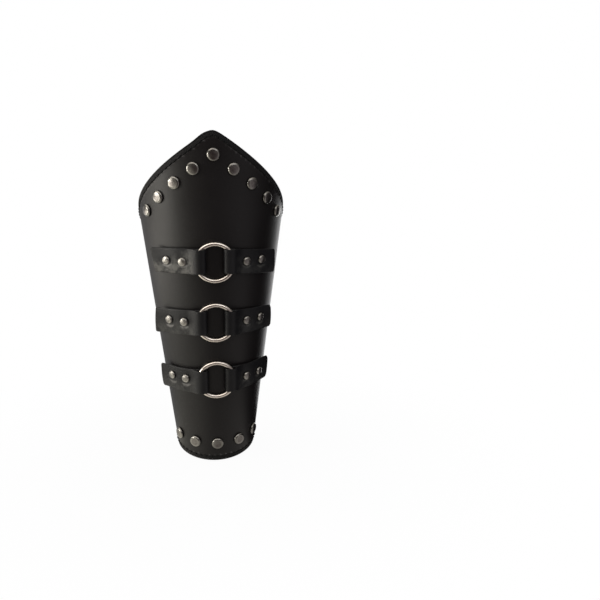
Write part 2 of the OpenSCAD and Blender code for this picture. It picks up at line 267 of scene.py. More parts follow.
class Finish:
    """A surface finish: one material, its nodes added as it is described."""

    def __init__(self, name):
        self.material = bpy.data.materials.new(name)
        self.material.use_nodes = True
        self.tree = self.material.node_tree
        self.tree.nodes.clear()

    def add(self, kind, settings=None, values=None, out=0):
        node = self.tree.nodes.new(kind)
        for key, value in (settings or {}).items():
            setattr(node, key, value)
        for key, value in (values or {}).items():
            if isinstance(value, Mark):
                self.tree.links.new(value.socket, node.inputs[key])
            else:
                node.inputs[key].default_value = value
        return Mark(self, node.outputs[out]) if node.outputs else None

    def noise(self, place, scale, detail=3, rough=0.55):
        values = {"Vector": place, "Scale": scale, "Detail": detail, "Roughness": rough}
        return self.add("ShaderNodeTexNoise", {}, values, "Fac")

    def cells(self, place, scale):
        return self.add("ShaderNodeTexVoronoi", {}, {"Vector": place, "Scale": scale}, "Distance")

    def step(self, mark, low, high, a=0.0, b=1.0):
        """From a to b, softly, as the mark goes from low to high."""
        smooth = {"interpolation_type": "SMOOTHSTEP"}
        return self.add("ShaderNodeMapRange", smooth, {0: mark, 1: low, 2: high, 3: a, 4: b})

    def blend(self, amount, a, b):
        return self.add("ShaderNodeMix", {"data_type": "RGBA"}, {0: amount, 6: a, 7: b}, 2)

    def bump(self, height, strength, distance, under=None):
        values = {"Strength": strength, "Distance": distance, "Height": height}
        if under:
            values["Normal"] = under
        return self.add("ShaderNodeBump", {}, values, "Normal")

    def close(self, **sockets):
        """Ends the finish in one principled shader."""
        values = {name.replace("_", " "): value for name, value in sockets.items()}
        shader = self.add("ShaderNodeBsdfPrincipled", {}, values)
        self.add("ShaderNodeOutputMaterial", {}, {"Surface": shader})
        return self.material


def body_finish():
    f = Finish("outer_leather")
    place = f.add("ShaderNodeTexCoord", {}, {}, "Object")
    gap = f.add("ShaderNodeAttribute", {"attribute_name": "edge_gap"}, {}, "Fac")
    run = f.add("ShaderNodeAttribute", {"attribute_name": "edge_run"}, {}, "Fac")
    grain = f.cells(place, 950)
    pores = f.noise(place, 2600, 2)
    wrinkle = f.noise(place, 130, 4, 0.6)
    broad = f.noise(place, 17, 2)
    border = f.step(gap, 0.0036, 0.0042, 1.0, 0.0)
    lip = f.step(gap, 0.0039, 0.0043) * f.step(gap, 0.0044, 0.0050, 1.0, 0.0)
    beside_thread = f.step(gap, 0.0026, 0.0032) * f.step(gap, 0.0038, 0.0043, 1.0, 0.0)
    beat = f.add("ShaderNodeMath", {"operation": "PINGPONG"}, {0: run + 0.8 * gap, 1: stitch_pitch / 2})
    bridge = f.step(beat, 0.0004, 0.0009, 1.0, 0.0) * beside_thread
    # Painted highlights: light dots just inside the stitch channel, one per stitch and in patches, where the leather
    # would catch the light.
    painted_highlight = f.step(beat, 0.0003, 0.0008, 1.0, 0.0)
    painted_highlight = painted_highlight * f.step(gap, 0.0037, 0.0042) * f.step(gap, 0.0050, 0.0058, 1.0, 0.0)
    colour = f.blend(f.step(broad, 0.35, 0.7), (0.0046, 0.0034, 0.0035, 1), (0.0064, 0.0050, 0.0051, 1))
    colour = f.blend(f.step(wrinkle, 0.62, 0.8, 0, 0.4), colour, (0.012, 0.011, 0.011, 1))
    # Painted shade: the border band outside the stitch channel is painted darker, where it turns away from the light.
    colour = f.blend(0.6 * border, colour, (0.0032, 0.0032, 0.0041, 1))
    # Painted highlight: a lighter line along the lip just inside the stitch channel.
    colour = f.blend(f.step(wrinkle, 0.45, 0.7, 0.1, 0.75) * lip, colour, (0.034, 0.031, 0.029, 1))
    painted_highlight = f.step(wrinkle, 0.40, 0.60) * f.step(broad, 0.42, 0.62, 0.1, 0.9) * painted_highlight
    colour = f.blend(painted_highlight, colour, (0.062, 0.058, 0.058, 1))
    rough = 0.36 + 0.10 * broad + 0.06 * wrinkle + 0.34 * border
    normal = f.bump(grain, 0.14, 0.00010)
    normal = f.bump(pores, 0.10, 0.00006, normal)
    normal = f.bump(wrinkle, 0.10, 0.0006, normal)
    normal = f.bump(wrinkle * border, 0.8, 0.0016, normal)
    normal = f.bump(bridge, 0.8, 0.0004, normal)
    return f.close(Base_Color=colour, Roughness=rough, Normal=normal, Specular_IOR_Level=0.37)


def edge_finish():
    f = Finish("burnished_edge")
    place = f.add("ShaderNodeTexCoord", {}, {}, "Object")
    fibres = f.noise(place, 900, 4, 0.7)
    colour = f.blend(f.step(fibres, 0.45, 0.75), (0.007, 0.006, 0.006, 1), (0.022, 0.018, 0.016, 1))
    normal = f.bump(fibres, 0.3, 0.0002)
    return f.close(Base_Color=colour, Roughness=0.38 + 0.3 * fibres, Normal=normal, Specular_IOR_Level=0.45)


def suede_finish():
    f = Finish("lining_suede")
    place = f.add("ShaderNodeTexCoord", {}, {}, "Object")
    nap = f.noise(place, 1400, 3, 0.7)
    brushed = f.noise(place, 60, 3, 0.6)
    colour = f.blend(brushed, (0.040, 0.029, 0.022, 1), (0.072, 0.054, 0.042, 1))
    colour = f.blend(f.step(nap, 0.3, 0.7, 0.0, 0.6), colour, (0.025, 0.019, 0.015, 1))
    normal = f.bump(nap, 0.6, 0.0003)
    normal = f.bump(brushed, 0.25, 0.001, normal)
    return f.close(Base_Color=colour, Roughness=0.92, Normal=normal, Sheen_Weight=0.25, Sheen_Roughness=0.5,
                   Specular_IOR_Level=0.25)


stitch_pitch = 0.0045
black_leather, burnished, suede = body_finish(), edge_finish(), suede_finish()
outer_leather = sheet_of("outer_leather", 0.0, -leather_t, 0.00045, [black_leather, suede, burnished], face_height)

# Lacing holes.
# Six holes punched through leather and lining along each lacing edge, for the eyelets.

hole_r, lace_inset, lace_end = 0.0029, 0.009, 0.012
lace_low = float(wrist_z(np.array(half_wrap)) + lace_end)
lace_high = float(elbow_z(np.array(half_wrap)) - lace_end)
lace_places = []
for n in range(6):
    z = lace_low + n * (lace_high - lace_low) / 5
    lace_places += [(side * (half_wrap - lace_inset / radius(z)), z) for side in (-1, 1)]


def seat(a, z, d=0.0):
    """Turns a piece's own axes so that Z stands out of the leather there and Y runs up it."""
    x = Vector((math.cos(a), math.sin(a), 0))
    out = Vector((math.sin(a) * math.cos(taper), -math.cos(a) * math.cos(taper), -math.sin(taper)))
    up = out.cross(x)
    turn = Matrix((x, up, out)).transposed().to_4x4()
    return Matrix.Translation(Vector(skin(np.array(a), np.array(z), d))) @ turn


def punch(sheet, places, r):
    """Cuts round holes square through a sheet of leather."""
    bm = bmesh.new()
    for a, z in places:
        bmesh.ops.create_cone(bm, cap_ends=True, segments=40, radius1=r, radius2=r, depth=0.012,
                              matrix=seat(a, z, -0.0015))
    mesh = bpy.data.meshes.new("punch")
    bm.to_mesh(mesh)
    bm.free()
    tool = bpy.data.objects.new("punch", mesh)
    bpy.context.scene.collection.objects.link(tool)
    cutter = sheet.modifiers.new("holes", "BOOLEAN")
    cutter.object, cutter.operation, cutter.solver = tool, "DIFFERENCE", "EXACT"
    done = bpy.data.meshes.new_from_object(sheet.evaluated_get(bpy.context.evaluated_depsgraph_get()))
    sheet.modifiers.clear()
    sheet.data = done
    bpy.data.objects.remove(tool)


punch(outer_leather, lace_places, hole_r)
spots = np.empty(len(outer_leather.data.vertices) * 3)
outer_leather.data.vertices.foreach_get("co", spots)
spots = spots.reshape(-1, 3)
gap, run = from_edge(to_flat(np.arctan2(spots[:, 0], -spots[:, 1]), spots[:, 2]))
for key, values in (("edge_gap", gap), ("edge_run", run)):
    outer_leather.data.attributes.new(key, "FLOAT", "POINT").data.foreach_set("value", values)
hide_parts("leather_body")
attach(outer_leather, "bracer")

# Lining.
# A thinner brown-black split leather, rough side in, stitched to the outer leather at the edge.

lining_t = 0.0010
lining_face = -leather_t - 0.00005
lining = sheet_of("lining_leather", lining_face, lining_face - lining_t, 0.0003, [suede, suede, burnished])
punch(lining, lace_places, hole_r)
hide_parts("lining")
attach(lining, "bracer")

# Edge stitching.
# Black waxed thread in a channel 3.5 mm in from the edge, one stitch every 4.5 mm, right round
# the piece. The same stitches show on the lining.


def set_pieces(name, piece, points, along, out, material, twist=0.0, seed=1):
    """Sets copies of a small piece on points by Geometry Nodes and returns them as one plain mesh."""
    mesh = bpy.data.meshes.new(name)
    mesh.from_pydata([tuple(p) for p in points], [], [])
    for key, values in (("along", along), ("out", out)):
        mesh.attributes.new(key, "FLOAT_VECTOR", "POINT").data.foreach_set("vector", np.array(values, float).ravel())
    obj = bpy.data.objects.new(name, mesh)
    bpy.context.scene.collection.objects.link(obj)
    tree = bpy.data.node_groups.new(name + "_setting", "GeometryNodeTree")
    face = tree.interface
    face.new_socket("Points", in_out="INPUT", socket_type="NodeSocketGeometry")
    inputs = {label: face.new_socket(label, in_out="INPUT", socket_type="NodeSocket" + kind)
              for label, kind in (("Piece", "Object"), ("Twist", "Float"), ("Seed", "Int"), ("Material", "Material"))}
    face.new_socket("Pieces", in_out="OUTPUT", socket_type="NodeSocketGeometry")

    def add(kind, settings=None, **links):
        node = tree.nodes.new(kind)
        for key, value in (settings or {}).items():
            setattr(node, key, value)
        for key, value in links.items():
            socket = node.inputs[key.replace("_", " ")]
            if isinstance(value, bpy.types.NodeSocket):
                tree.links.new(value, socket)
            else:
                socket.default_value = value
        return node

    given = add("NodeGroupInput")
    vector = {"data_type": "FLOAT_VECTOR"}
    lengthwise, outwards = [add("GeometryNodeInputNamedAttribute", vector, Name=key).outputs["Attribute"]
                            for key in ("along", "out")]
    turn = add("FunctionNodeAxesToRotation", {"primary_axis": "Z", "secondary_axis": "X"},
               Primary_Axis=outwards, Secondary_Axis=lengthwise)
    chance = add("FunctionNodeRandomValue", {"data_type": "FLOAT"}, Seed=given.outputs["Seed"])
    tree.links.new(given.outputs["Twist"], chance.inputs[3])
    spin = add("FunctionNodeAxisAngleToRotation", Axis=(0, 0, 1), Angle=chance.outputs[1])
    turned = add("FunctionNodeRotateRotation", {"rotation_space": "LOCAL"},
                 Rotation=turn.outputs[0], Rotate_By=spin.outputs[0])
    shape = add("GeometryNodeObjectInfo", Object=given.outputs["Piece"])
    placed = add("GeometryNodeInstanceOnPoints", Points=given.outputs["Points"], Instance=shape.outputs["Geometry"],
                 Rotation=turned.outputs[0])
    real = add("GeometryNodeRealizeInstances", Geometry=placed.outputs[0])
    painted = add("GeometryNodeSetMaterial", Geometry=real.outputs[0], Material=given.outputs["Material"])
    add("NodeGroupOutput", Pieces=painted.outputs[0])
    setting = obj.modifiers.new("setting", "NODES")
    setting.node_group = tree
    for label, value in (("Piece", piece), ("Twist", twist), ("Seed", seed), ("Material", material)):
        setting[inputs[label].identifier] = value
    done = bpy.data.meshes.new_from_object(obj.evaluated_get(bpy.context.evaluated_depsgraph_get()))
    obj.modifiers.clear()
    obj.data = done
    bpy.data.objects.remove(piece)
    return obj


def thread_finish():
    f = Finish("waxed_thread")
    place = f.add("ShaderNodeTexCoord", {}, {}, "Object")
    plies = f.noise(place, 1500, 2)
    colour = f.blend(plies, (0.002, 0.002, 0.0024, 1), (0.006, 0.0056, 0.0056, 1))
    return f.close(Base_Color=colour, Roughness=0.65, Normal=f.bump(plies, 0.5, 0.0002), Specular_IOR_Level=0.2)


def one_stitch(reach, thick):
    """A stitch along X that dips into the leather at both ends."""
    points, faces = [], []
    for i in range(11):
        t = -1 + 2 * i / 10
        x, z = reach / 2 * t, thick * (0.38 - 1.0 * t ** 6)
        r = thick / 2 * (1 - 0.25 * t ** 4)
        for q in range(8):
            c = 2 * math.pi * q / 8
            points.append((x, r * math.cos(c), z + r * 0.85 * math.sin(c)))
    for i in range(10):
        for q in range(8):
            p = (q + 1) % 8
            faces.append((i * 8 + q, i * 8 + p, i * 8 + 8 + p, i * 8 + 8 + q))
    faces += [tuple(range(7, -1, -1)), tuple(range(80, 88))]
    return solid("stitch", points, faces)


seam = outline - edge_out * seam_gap
gaps = np.linalg.norm(np.roll(seam, -1, 0) - seam, axis=1)
run = np.concatenate([[0], np.cumsum(gaps)])
at = (np.arange(int(run[-1] / stitch_pitch)) + 0.5) * run[-1] / int(run[-1] / stitch_pitch)
closed = np.concatenate([seam, seam[:1]])


def on_seam(s):
    return np.stack([np.interp(s % run[-1], run, closed[:, 0]), np.interp(s % run[-1], run, closed[:, 1])], -1)


thread = thread_finish()
for name, depth, sign in (("face_stitches", -0.00046, 1), ("lining_stitches", -leather_t - lining_t - 0.00002, -1)):
    middle = roll(on_seam(at), depth)
    ahead, behind = roll(on_seam(at + 0.001), depth), roll(on_seam(at - 0.001), depth)
    outer = roll(on_seam(at), depth + 0.001) - middle
    line = set_pieces(name, one_stitch(0.0036, 0.0014), middle, ahead - behind, sign * outer, thread)
    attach(line, "bracer")

# Rings.
# Three O-rings of polished nickel-plated steel wire, bent round and butt-welded, loose in their tabs.

wire_r, ring_r = 0.0015, 0.0136
tab_w, tab_t, slack, lay = 0.0175, 0.00135, 0.00035, 0.00005
fold_r = wire_r + slack
fold_x = math.sqrt((ring_r - wire_r) ** 2 - (tab_w / 2) ** 2) - slack + fold_r
rows = {"wrist": 0.0689, "middle": 0.1139, "top": 0.1589}


def bend_r(z):
    return radius(z) / math.cos(taper)


def ring_d(z):
    """Height of a ring's plane over the front line, its folds resting on the leather."""
    return math.sqrt((bend_r(z) + fold_r + tab_t + 2 * lay) ** 2 - fold_x ** 2) - bend_r(z)


def nickel_finish():
    f = Finish("ring_nickel")
    place = f.add("ShaderNodeTexCoord", {}, {}, "Object")
    haze = f.noise(place, 160, 4, 0.65)
    rub = f.noise(place, 2400, 2, 0.6)
    colour = f.blend(haze, (0.93, 0.84, 0.76, 1), (0.97, 0.90, 0.83, 1))
    return f.close(Base_Color=colour, Metallic=1.0, Roughness=0.21 + 0.12 * haze, Normal=f.bump(rub, 0.05, 0.00005))


nickel = nickel_finish()
for row, seam_at in (("top", 92), ("middle", 201), ("wrist", 76)):
    z = rows[row]
    stand = seat(0.0, z, ring_d(z))
    weld = math.radians(seam_at)
    points, faces = [], []
    around, across = 180, 36
    for i in range(around):
        t = weld + 2 * math.pi * i / around
        off = min(i, around - i) * 2 * math.pi / around * ring_r
        r = wire_r * (1 - 0.10 * math.exp(-(off / 0.00028) ** 2) + 0.025 * math.exp(-((off - 0.0009) / 0.0005) ** 2))
        for q in range(across):
            c = 2 * math.pi * q / across
            reach = ring_r + r * math.cos(c)
            points.append(stand @ Vector((reach * math.cos(t), reach * math.sin(t), r * math.sin(c))))
    for i in range(around):
        for q in range(across):
            j, p = (i + 1) % around, (q + 1) % across
            faces.append((i * across + q, j * across + q, j * across + p, i * across + p))
    ring = solid(f"{row}_o_ring_wire", points, faces, [nickel])
    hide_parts(f"{row}_ring")
    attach(ring, f"{row}_o_ring")

# Tabs.
# Six strips of black grained leather. Each is folded round its ring, lies doubled on the shell and is
# riveted through both layers; its outer end runs on past the folded-under one.

tab_rivet_s, tab_under, tab_end, tab_lands = (0.0227, 0.0355), 0.040, 0.0465, 0.0213
strap_w = tab_w + 0.0010
loop_x = math.sqrt((ring_r - wire_r) ** 2 - (strap_w / 2) ** 2) - slack + fold_r


def tab_finish():
    f = Finish("tab_leather")
    place = f.add("ShaderNodeTexCoord", {}, {}, "Object")
    pebbles = f.cells(place, 620)
    creases = f.noise(place, 260, 5, 0.7)
    pores = f.noise(place, 2200, 2)
    broad = f.noise(place, 45, 3)
    creases_and_painted_sheen = f.add("ShaderNodeAttribute", {"attribute_name": "creases_and_painted_sheen"}, {}, "Fac")
    rim = f.add("ShaderNodeAttribute", {"attribute_name": "rim"}, {}, "Fac")
    painted_highlight = f.add("ShaderNodeAttribute", {"attribute_name": "painted_highlight"}, {}, "Fac")
    colour = f.blend(f.step(broad, 0.35, 0.7), (0.0044, 0.0042, 0.0052, 1), (0.0074, 0.0070, 0.0080, 1))
    # Painted sheen: a light mottled sheen painted on the creases where the mask is high; the same mask deepens the
    # creases.
    colour = f.blend(f.step(creases, 0.34, 0.62, 0.1, 0.9) * creases_and_painted_sheen, colour, (0.125, 0.120, 0.105, 1))
    colour = f.blend(f.step(creases, 0.55, 0.8, 0, 0.25), colour, (0.018, 0.018, 0.018, 1))
    colour = f.blend(f.step(creases, 0.35, 0.65, 0.2, 0.8) * rim, colour, (0.036, 0.035, 0.034, 1))
    # Painted highlights: light crescents on the leather just below the caps, on the left tabs only.
    colour = f.blend(painted_highlight * f.step(creases, 0.35, 0.60, 0.5, 1.0), colour, (0.19, 0.18, 0.165, 1))
    rough = 0.34 + 0.14 * broad + 0.10 * creases
    normal = f.bump(pebbles, 0.30, 0.00018)
    normal = f.bump(creases * (0.3 + 0.7 * creases_and_painted_sheen), 0.5, 0.0010, normal)
    normal = f.bump(pores, 0.15, 0.00006, normal)
    return f.close(Base_Color=colour, Roughness=rough, Normal=normal, Specular_IOR_Level=0.30)


def strip_path(z, flare, end):
    """Middle line of a tab seen from its edge: in from the hidden end, round the ring, out to the free end."""
    reach, lift, mid = bend_r(z), ring_d(z), fold_r + tab_t / 2

    def lying(s, h):
        b = s / reach
        return np.stack([(reach + h) * np.sin(b), (reach + h) * np.cos(b) - reach], -1)

    under = lying(np.linspace(tab_under, loop_x + 0.0006, 40), lay + tab_t / 2)
    c = np.radians(np.linspace(-90, -264, 30))
    fold = np.stack([loop_x + mid * np.cos(c), lift + mid * np.sin(c)], -1)
    b, q = tab_lands / reach, np.linspace(0, 1, 30)[1:-1, None]
    landed = lying(tab_lands, lay + 1.5 * tab_t)
    rising = fold[-1] + 0.0066 * np.array([math.sin(c[-1]), -math.cos(c[-1])])
    falling = landed - 0.0080 * np.array([math.cos(b), -math.sin(b)])
    over = (1 - q) ** 3 * fold[-1] + 3 * (1 - q) ** 2 * q * rising + 3 * (1 - q) * q ** 2 * falling + q ** 3 * landed
    s = np.linspace(tab_lands, end, 48)
    past = np.clip((s - tab_rivet_s[1]) / (end - tab_rivet_s[1]), 0, 1)
    straight = (past * (end - tab_rivet_s[1])) ** 2 / (2 * reach)
    flat = lying(s, lay + 1.5 * tab_t + straight + flare * past ** 2)
    path = np.concatenate([under, fold, over, flat])
    run = np.concatenate([[0], np.cumsum(np.linalg.norm(np.diff(path, axis=0), axis=1))])
    even = np.arange(0, run[-1], 0.0004)
    path = np.stack([np.interp(even, run, path[:, 0]), np.interp(even, run, path[:, 1])], -1)
    for step in range(10):
        path[1:-1] = (path[:-2] + 2 * path[1:-1] + path[2:]) / 4
    keep = np.unique(np.concatenate([np.arange(0, len(path), 2), [len(path) - 1]]))
    return path[keep]


def tab_strip(name, z, side, more, skew, slide, droop, flare, round_by, widths, creases_and_painted_sheen, seed):
    """One tab: its middle line thickened, its cut edges rounded, pressed down at its rivets.

    more is how far it is cut longer than drawn and skew how much further its upper corner reaches than
    its lower one, slide how far the fold sits up the ring's leg, droop how far the free end hangs below
    that, flare how far its corners stand off, and widths are its widths at the fold and at the end.
    """
    reach, path = bend_r(z), strip_path(z, sum(flare) / 2, tab_end + more)
    along = np.gradient(path, axis=0)
    along /= np.linalg.norm(along, axis=1)[:, None]
    square = np.stack([along[:, 1], -along[:, 0]], -1)
    half_w, half_t, worn_edge = 0.5, tab_t / 2, 0.00042
    soft = worn_edge / widths[0]
    section = [(w, half_t) for w in np.linspace(-half_w + soft, half_w - soft, 25)]
    section += [(half_w - soft + soft * math.sin(c), half_t - worn_edge + worn_edge * math.cos(c))
                for c in (0.5, 1.05, 1.57)]
    section += [(-w, -h) for w, h in section]
    section = np.array(section)
    run = np.concatenate([[0], np.cumsum(np.linalg.norm(np.diff(path, axis=0), axis=1))])
    left = run[-1] - run
    whole = path[:, 1] + reach
    along_s = np.arctan2(path[:, 0], whole) * reach
    points, rims, crease_and_sheen_marks, painted_highlights = [], [], [], []
    for i in range(len(path)):
        pull = round_by - math.sqrt(max(0, round_by ** 2 - max(0, round_by - left[i]) ** 2))
        out_side = left[i] < run[-1] - 0.045
        tilt = np.clip((along_s[i] - 0.010) / (tab_end - 0.010), 0, 1)
        wide = widths[0] + (widths[1] - widths[0]) * tilt
        w = section[:, 0] * (wide - 2 * pull) * (1 if out_side else 0.95)
        h = -section[:, 1]
        at_side = np.clip((np.abs(w) - wide / 2 + pull + 0.0012) / 0.0008, 0, 1)
        rims.append(np.maximum(at_side, max(0, 1 - left[i] / 0.0009)) * (h > 0))
        slip = np.clip(1 - left[i] / 0.010, 0, 1) * skew * section[:, 0]
        spot = path[i] + square[i] * h[:, None] + along[i] * slip[:, None]
        b = np.arctan2(spot[:, 0], spot[:, 1] + reach)
        out = np.hypot(spot[:, 0], spot[:, 1] + reach) - reach
        s = b * reach
        settled = np.clip((s - 0.012) / 0.012, 0, 1)
        wave = np.array([noise.noise(Vector((float(q) * 90, float(v) * 70, seed))) for q, v in zip(s, w)])
        for r in tab_rivet_s:
            out = out - 0.00038 * out_side * np.exp(-(((s - r) ** 2 + w ** 2) / 0.0046 ** 2))
        loose = np.clip((s - 0.038) / 0.010, 0, 1) if out_side else 0
        past = np.clip((s - tab_rivet_s[1]) / (tab_end - tab_rivet_s[1]), 0, 1) ** 2
        out = out + (0.00012 + 0.00025 * loose) * wave * settled * out_side
        past_fold = np.clip((s - 0.013) / 0.004, 0, 1)
        # Painted sheen: how much lighter each point is painted, more on the lower half, on the part nearer the ring
        # and in patches, scaled per tab.
        lightened = creases_and_painted_sheen * np.clip(0.24 - w / 0.0075 + 0.4 * (s < 0.024) + 0.9 * wave, 0, 1) * past_fold
        painted_highlight = 0 * s
        # Painted highlights: crescents on the leather below each cap, kept to the left tabs; they also lighten the
        # painted sheen there.
        for r in tab_rivet_s:
            near_cap = np.clip(1.4 - np.abs(np.hypot(s - r, w) - 0.0039) / 0.0009, 0, 1)
            under_cap = near_cap * np.clip((-w - 0.0022) / 0.0008, 0, 1)
            lightened = np.maximum(lightened, 0.4 * under_cap)
            painted_highlight = np.maximum(painted_highlight, under_cap)
        crease_and_sheen_marks.append(lightened * out_side)
        painted_highlights.append(min(1, 0.45 + creases_and_painted_sheen) * painted_highlight * out_side * (side < 0))
        out = out + out_side * past * (flare[0] - flare[1]) * w / wide
        out = out + out_side * settled * 0.00040 * (0.4 - (2 * w / wide) ** 2)
        w = w + slide - (slide + droop) * tilt
        w = w + 0.00018 * noise.noise(Vector((run[i] * 60, 5, seed)))
        x, y = (reach + out) * np.sin(b), (reach + out) * np.cos(b) - reach
        across = np.stack([0 * x + x, w, y], -1)
        placed = np.array(seat(0.0, z))
        spot = across @ placed[:3, :3].T + placed[:3, 3]
        a = np.arctan2(spot[:, 0], -spot[:, 1])
        level = spot[:, 2] + out * math.sin(taper)
        drift = radius(level) + out * math.cos(taper) - np.hypot(spot[:, 0], spot[:, 1])
        spot[:, 0] += drift * settled * np.sin(a)
        spot[:, 1] -= drift * settled * np.cos(a)
        points += list(spot)
    n = len(section)
    faces = []
    for i in range(len(path) - 1):
        for q in range(n):
            p = (q + 1) % n
            faces.append((i * n + q, i * n + p, i * n + n + p, i * n + n + q))
    last = (len(path) - 1) * n
    faces += [tuple(range(n - 1, -1, -1)), tuple(range(last, last + n))]
    points = [Vector((side * p[0], p[1], p[2])) for p in points]
    if side < 0:
        faces = [f[::-1] for f in faces]
    obj = solid(name, points, faces, [grained_leather])
    for key, values in (("rim", np.concatenate(rims)), ("creases_and_painted_sheen", np.concatenate(crease_and_sheen_marks)), ("painted_highlight", np.concatenate(painted_highlights))):
        obj.data.attributes.new(key, "FLOAT", "POINT").data.foreach_set("value", values)
    bm = bmesh.new()
    bm.from_mesh(obj.data)
    bmesh.ops.recalc_face_normals(bm, faces=bm.faces)
    bm.to_mesh(obj.data)
    bm.free()
    return obj


grained_leather = tab_finish()
# The second-last number of each row sets how much painted sheen the tab gets, most on the left tabs.
for row, side, more, skew, slide, droop, flare, round_by, widths, creases_and_painted_sheen, seed in (
        ("top", "left", 0.0010, 0.0032, 0.0009, 0.0008, (0.0010, 0.0009), 0.0010, (0.0190, 0.0186), 1.0, 11),
        ("top", "right", 0.0022, -0.0010, 0.0010, 0.0030, (0.0010, 0.0009), 0.0010, (0.0189, 0.0184), 0.1, 12),
        ("middle", "left", 0.0014, -0.0010, 0.0003, 0.0026, (0.0018, 0.0028), 0.0008, (0.0195, 0.0198), 0.4, 13),
        ("middle", "right", 0.0007, -0.0012, -0.0001, 0.0020, (0.0012, 0.0010), 0.0020, (0.0196, 0.0184), 0.1, 14),
        ("wrist", "left", 0.0011, 0.0002, -0.0010, 0.0034, (0.0012, 0.0012), 0.0016, (0.0192, 0.0194), 0.25, 15),
        ("wrist", "right", 0.0, -0.0005, -0.0001, 0.0001, (0.0009, 0.0004), 0.0026, (0.0198, 0.0194), 0.1, 16)):
    hand = -1 if side == "left" else 1
    tab = tab_strip(f"{row}_{side}_strap", rows[row], hand, more, skew, slide, droop, flare, round_by, widths, creases_and_painted_sheen, seed)
    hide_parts(f"{row}_{side}_tab")
    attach(tab, "bracer")

# Cap rivets.
# Hollow caps of antiqued nickel, each closed from inside by a base whose pin spreads in its shank:
# nine along the elbow edge and five above the wrist edge, with smaller ones through the tabs.


def cap_finish(name, low, high, rough, lightened=(0, 0, 0, 1)):
    """Antiqued plate: tarnish left on the face, polished bright by use where the cap's shoulder stands out."""
    f = Finish(name)
    place = f.add("ShaderNodeTexCoord", {}, {}, "Object")
    shoulder = f.add("ShaderNodeAttribute", {"attribute_name": "shoulder"}, {}, "Fac")
    tarnish = f.noise(place, 420, 4, 0.7)
    specks = f.noise(place, 1900, 3, 0.7)
    colour = f.blend(f.step(tarnish, 0.3, 0.75), low, high)
    colour = f.blend(f.step(specks, 0.6, 0.75, 0, 0.5), colour, tuple(0.5 * c for c in low[:3]) + (1,))
    colour = f.blend(shoulder, colour, lightened)
    rough = rough + 0.16 * tarnish - 0.05 * shoulder
    return f.close(Base_Color=colour, Metallic=1.0, Roughness=rough, Normal=f.bump(specks, 0.15, 0.00008))


def lathe(name, profile, around=64):
    """A turned piece on Z from (radius, height) pairs, first and last on the axis."""
    points, faces = [(0, 0, profile[0][1]), (0, 0, profile[-1][1])], []
    rings = profile[1:-1]
    for r, h in rings:
        turns = [2 * math.pi * q / around for q in range(around)]
        points += [(r * math.cos(t), r * math.sin(t), h) for t in turns]
    for q in range(around):
        p = (q + 1) % around
        faces.append((0, 2 + p, 2 + q))
        for i in range(len(rings) - 1):
            a = 2 + i * around
            faces.append((a + q, a + p, a + around + p, a + around + q))
        a = 2 + (len(rings) - 1) * around
        faces.append((a + q, a + p, 1))
    return solid(name, points, faces)


def cap_profile(r, h, flat, crown):
    """Section of a cap: turned-under lip, rounded shoulder, then a face out to flat that rises by crown."""
    lip = [(0, 0.2 * h), (0.78 * r, 0.2 * h), (0.84 * r, 0.02 * h), (0.92 * r, 0)]
    lower = [(r - 0.08 * r * (1 - math.cos(c)), 0.18 * h * (1 + math.sin(c))) for c in np.linspace(-1.2, 0, 4)]
    shoulder = [(flat + (r - flat) * math.cos(c), 0.18 * h + (0.82 * h - crown) * math.sin(c))
                for c in np.linspace(0.12, 1.42, 12)]
    face = [(q * flat, h - crown * q * q) for q in (0.9, 0.75, 0.5, 0.25)]
    return lip + lower + shoulder + face + [(0, h)]


def rivet_row(name, places, lift, r, h, flat, crown, finish, nodes):
    """Caps on one row of places, riding on the shell."""
    frames = [seat(a, z, lift) for a, z in places]
    cap = lathe("cap", cap_profile(r, h, flat, crown))
    from_axis = np.array([math.hypot(v.co.x, v.co.y) for v in cap.data.vertices])
    shoulder = np.clip((from_axis - flat * 0.94) / (0.16 * flat), 0, 1)
    cap.data.attributes.new("shoulder", "FLOAT", "POINT").data.foreach_set("value", shoulder)
    row = set_pieces(name, cap, [m.translation for m in frames], [m.col[0][:3] for m in frames],
                     [m.col[2][:3] for m in frames], finish, twist=6.283, seed=7)
    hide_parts(*nodes)
    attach(row, "bracer")
    return row


big_metal = cap_finish("cap_gunmetal", (0.162, 0.145, 0.140, 1), (0.250, 0.238, 0.222, 1), 0.25,
                       (0.28, 0.270, 0.252, 1))
small_metal = cap_finish("tab_cap_nickel", (0.23, 0.218, 0.205, 1), (0.335, 0.320, 0.298, 1), 0.27,
                         (0.39, 0.375, 0.35, 1))
big_cap, small_cap = (0.0046, 0.0022, 0.0027, 0.0003), (0.0032, 0.0021, 0.0021, 0.0004)
rivet_row("point_caps", point_rivets, 2 * lay, *big_cap, big_metal, ["point_rivet_caps"])
rivet_row("wrist_caps", wrist_rivets, 2 * lay, *big_cap, big_metal, ["wrist_rivet_caps"])
for row, z in rows.items():
    places = []
    for s in (-tab_rivet_s[1], -tab_rivet_s[0], tab_rivet_s[0], tab_rivet_s[1]):
        a = s / radius(z)
        lean = math.cos(taper) + opening * math.sin(taper) * math.cos(a)
        climb = radius(z) * math.sin(taper) * (1 - math.cos(a)) / lean
        places.append((a, z + climb))
    rivet_row(f"{row}_tab_caps", places, 2 * tab_t + 2 * lay, *small_cap, small_metal, [f"{row}_tab_rivet_caps"])

# Rivet bases and eyelets.
# Plain nickel bases lie on the lining. Antiqued eyelets with rolled flanges line the lacing holes,
# each with a washer on the inside.

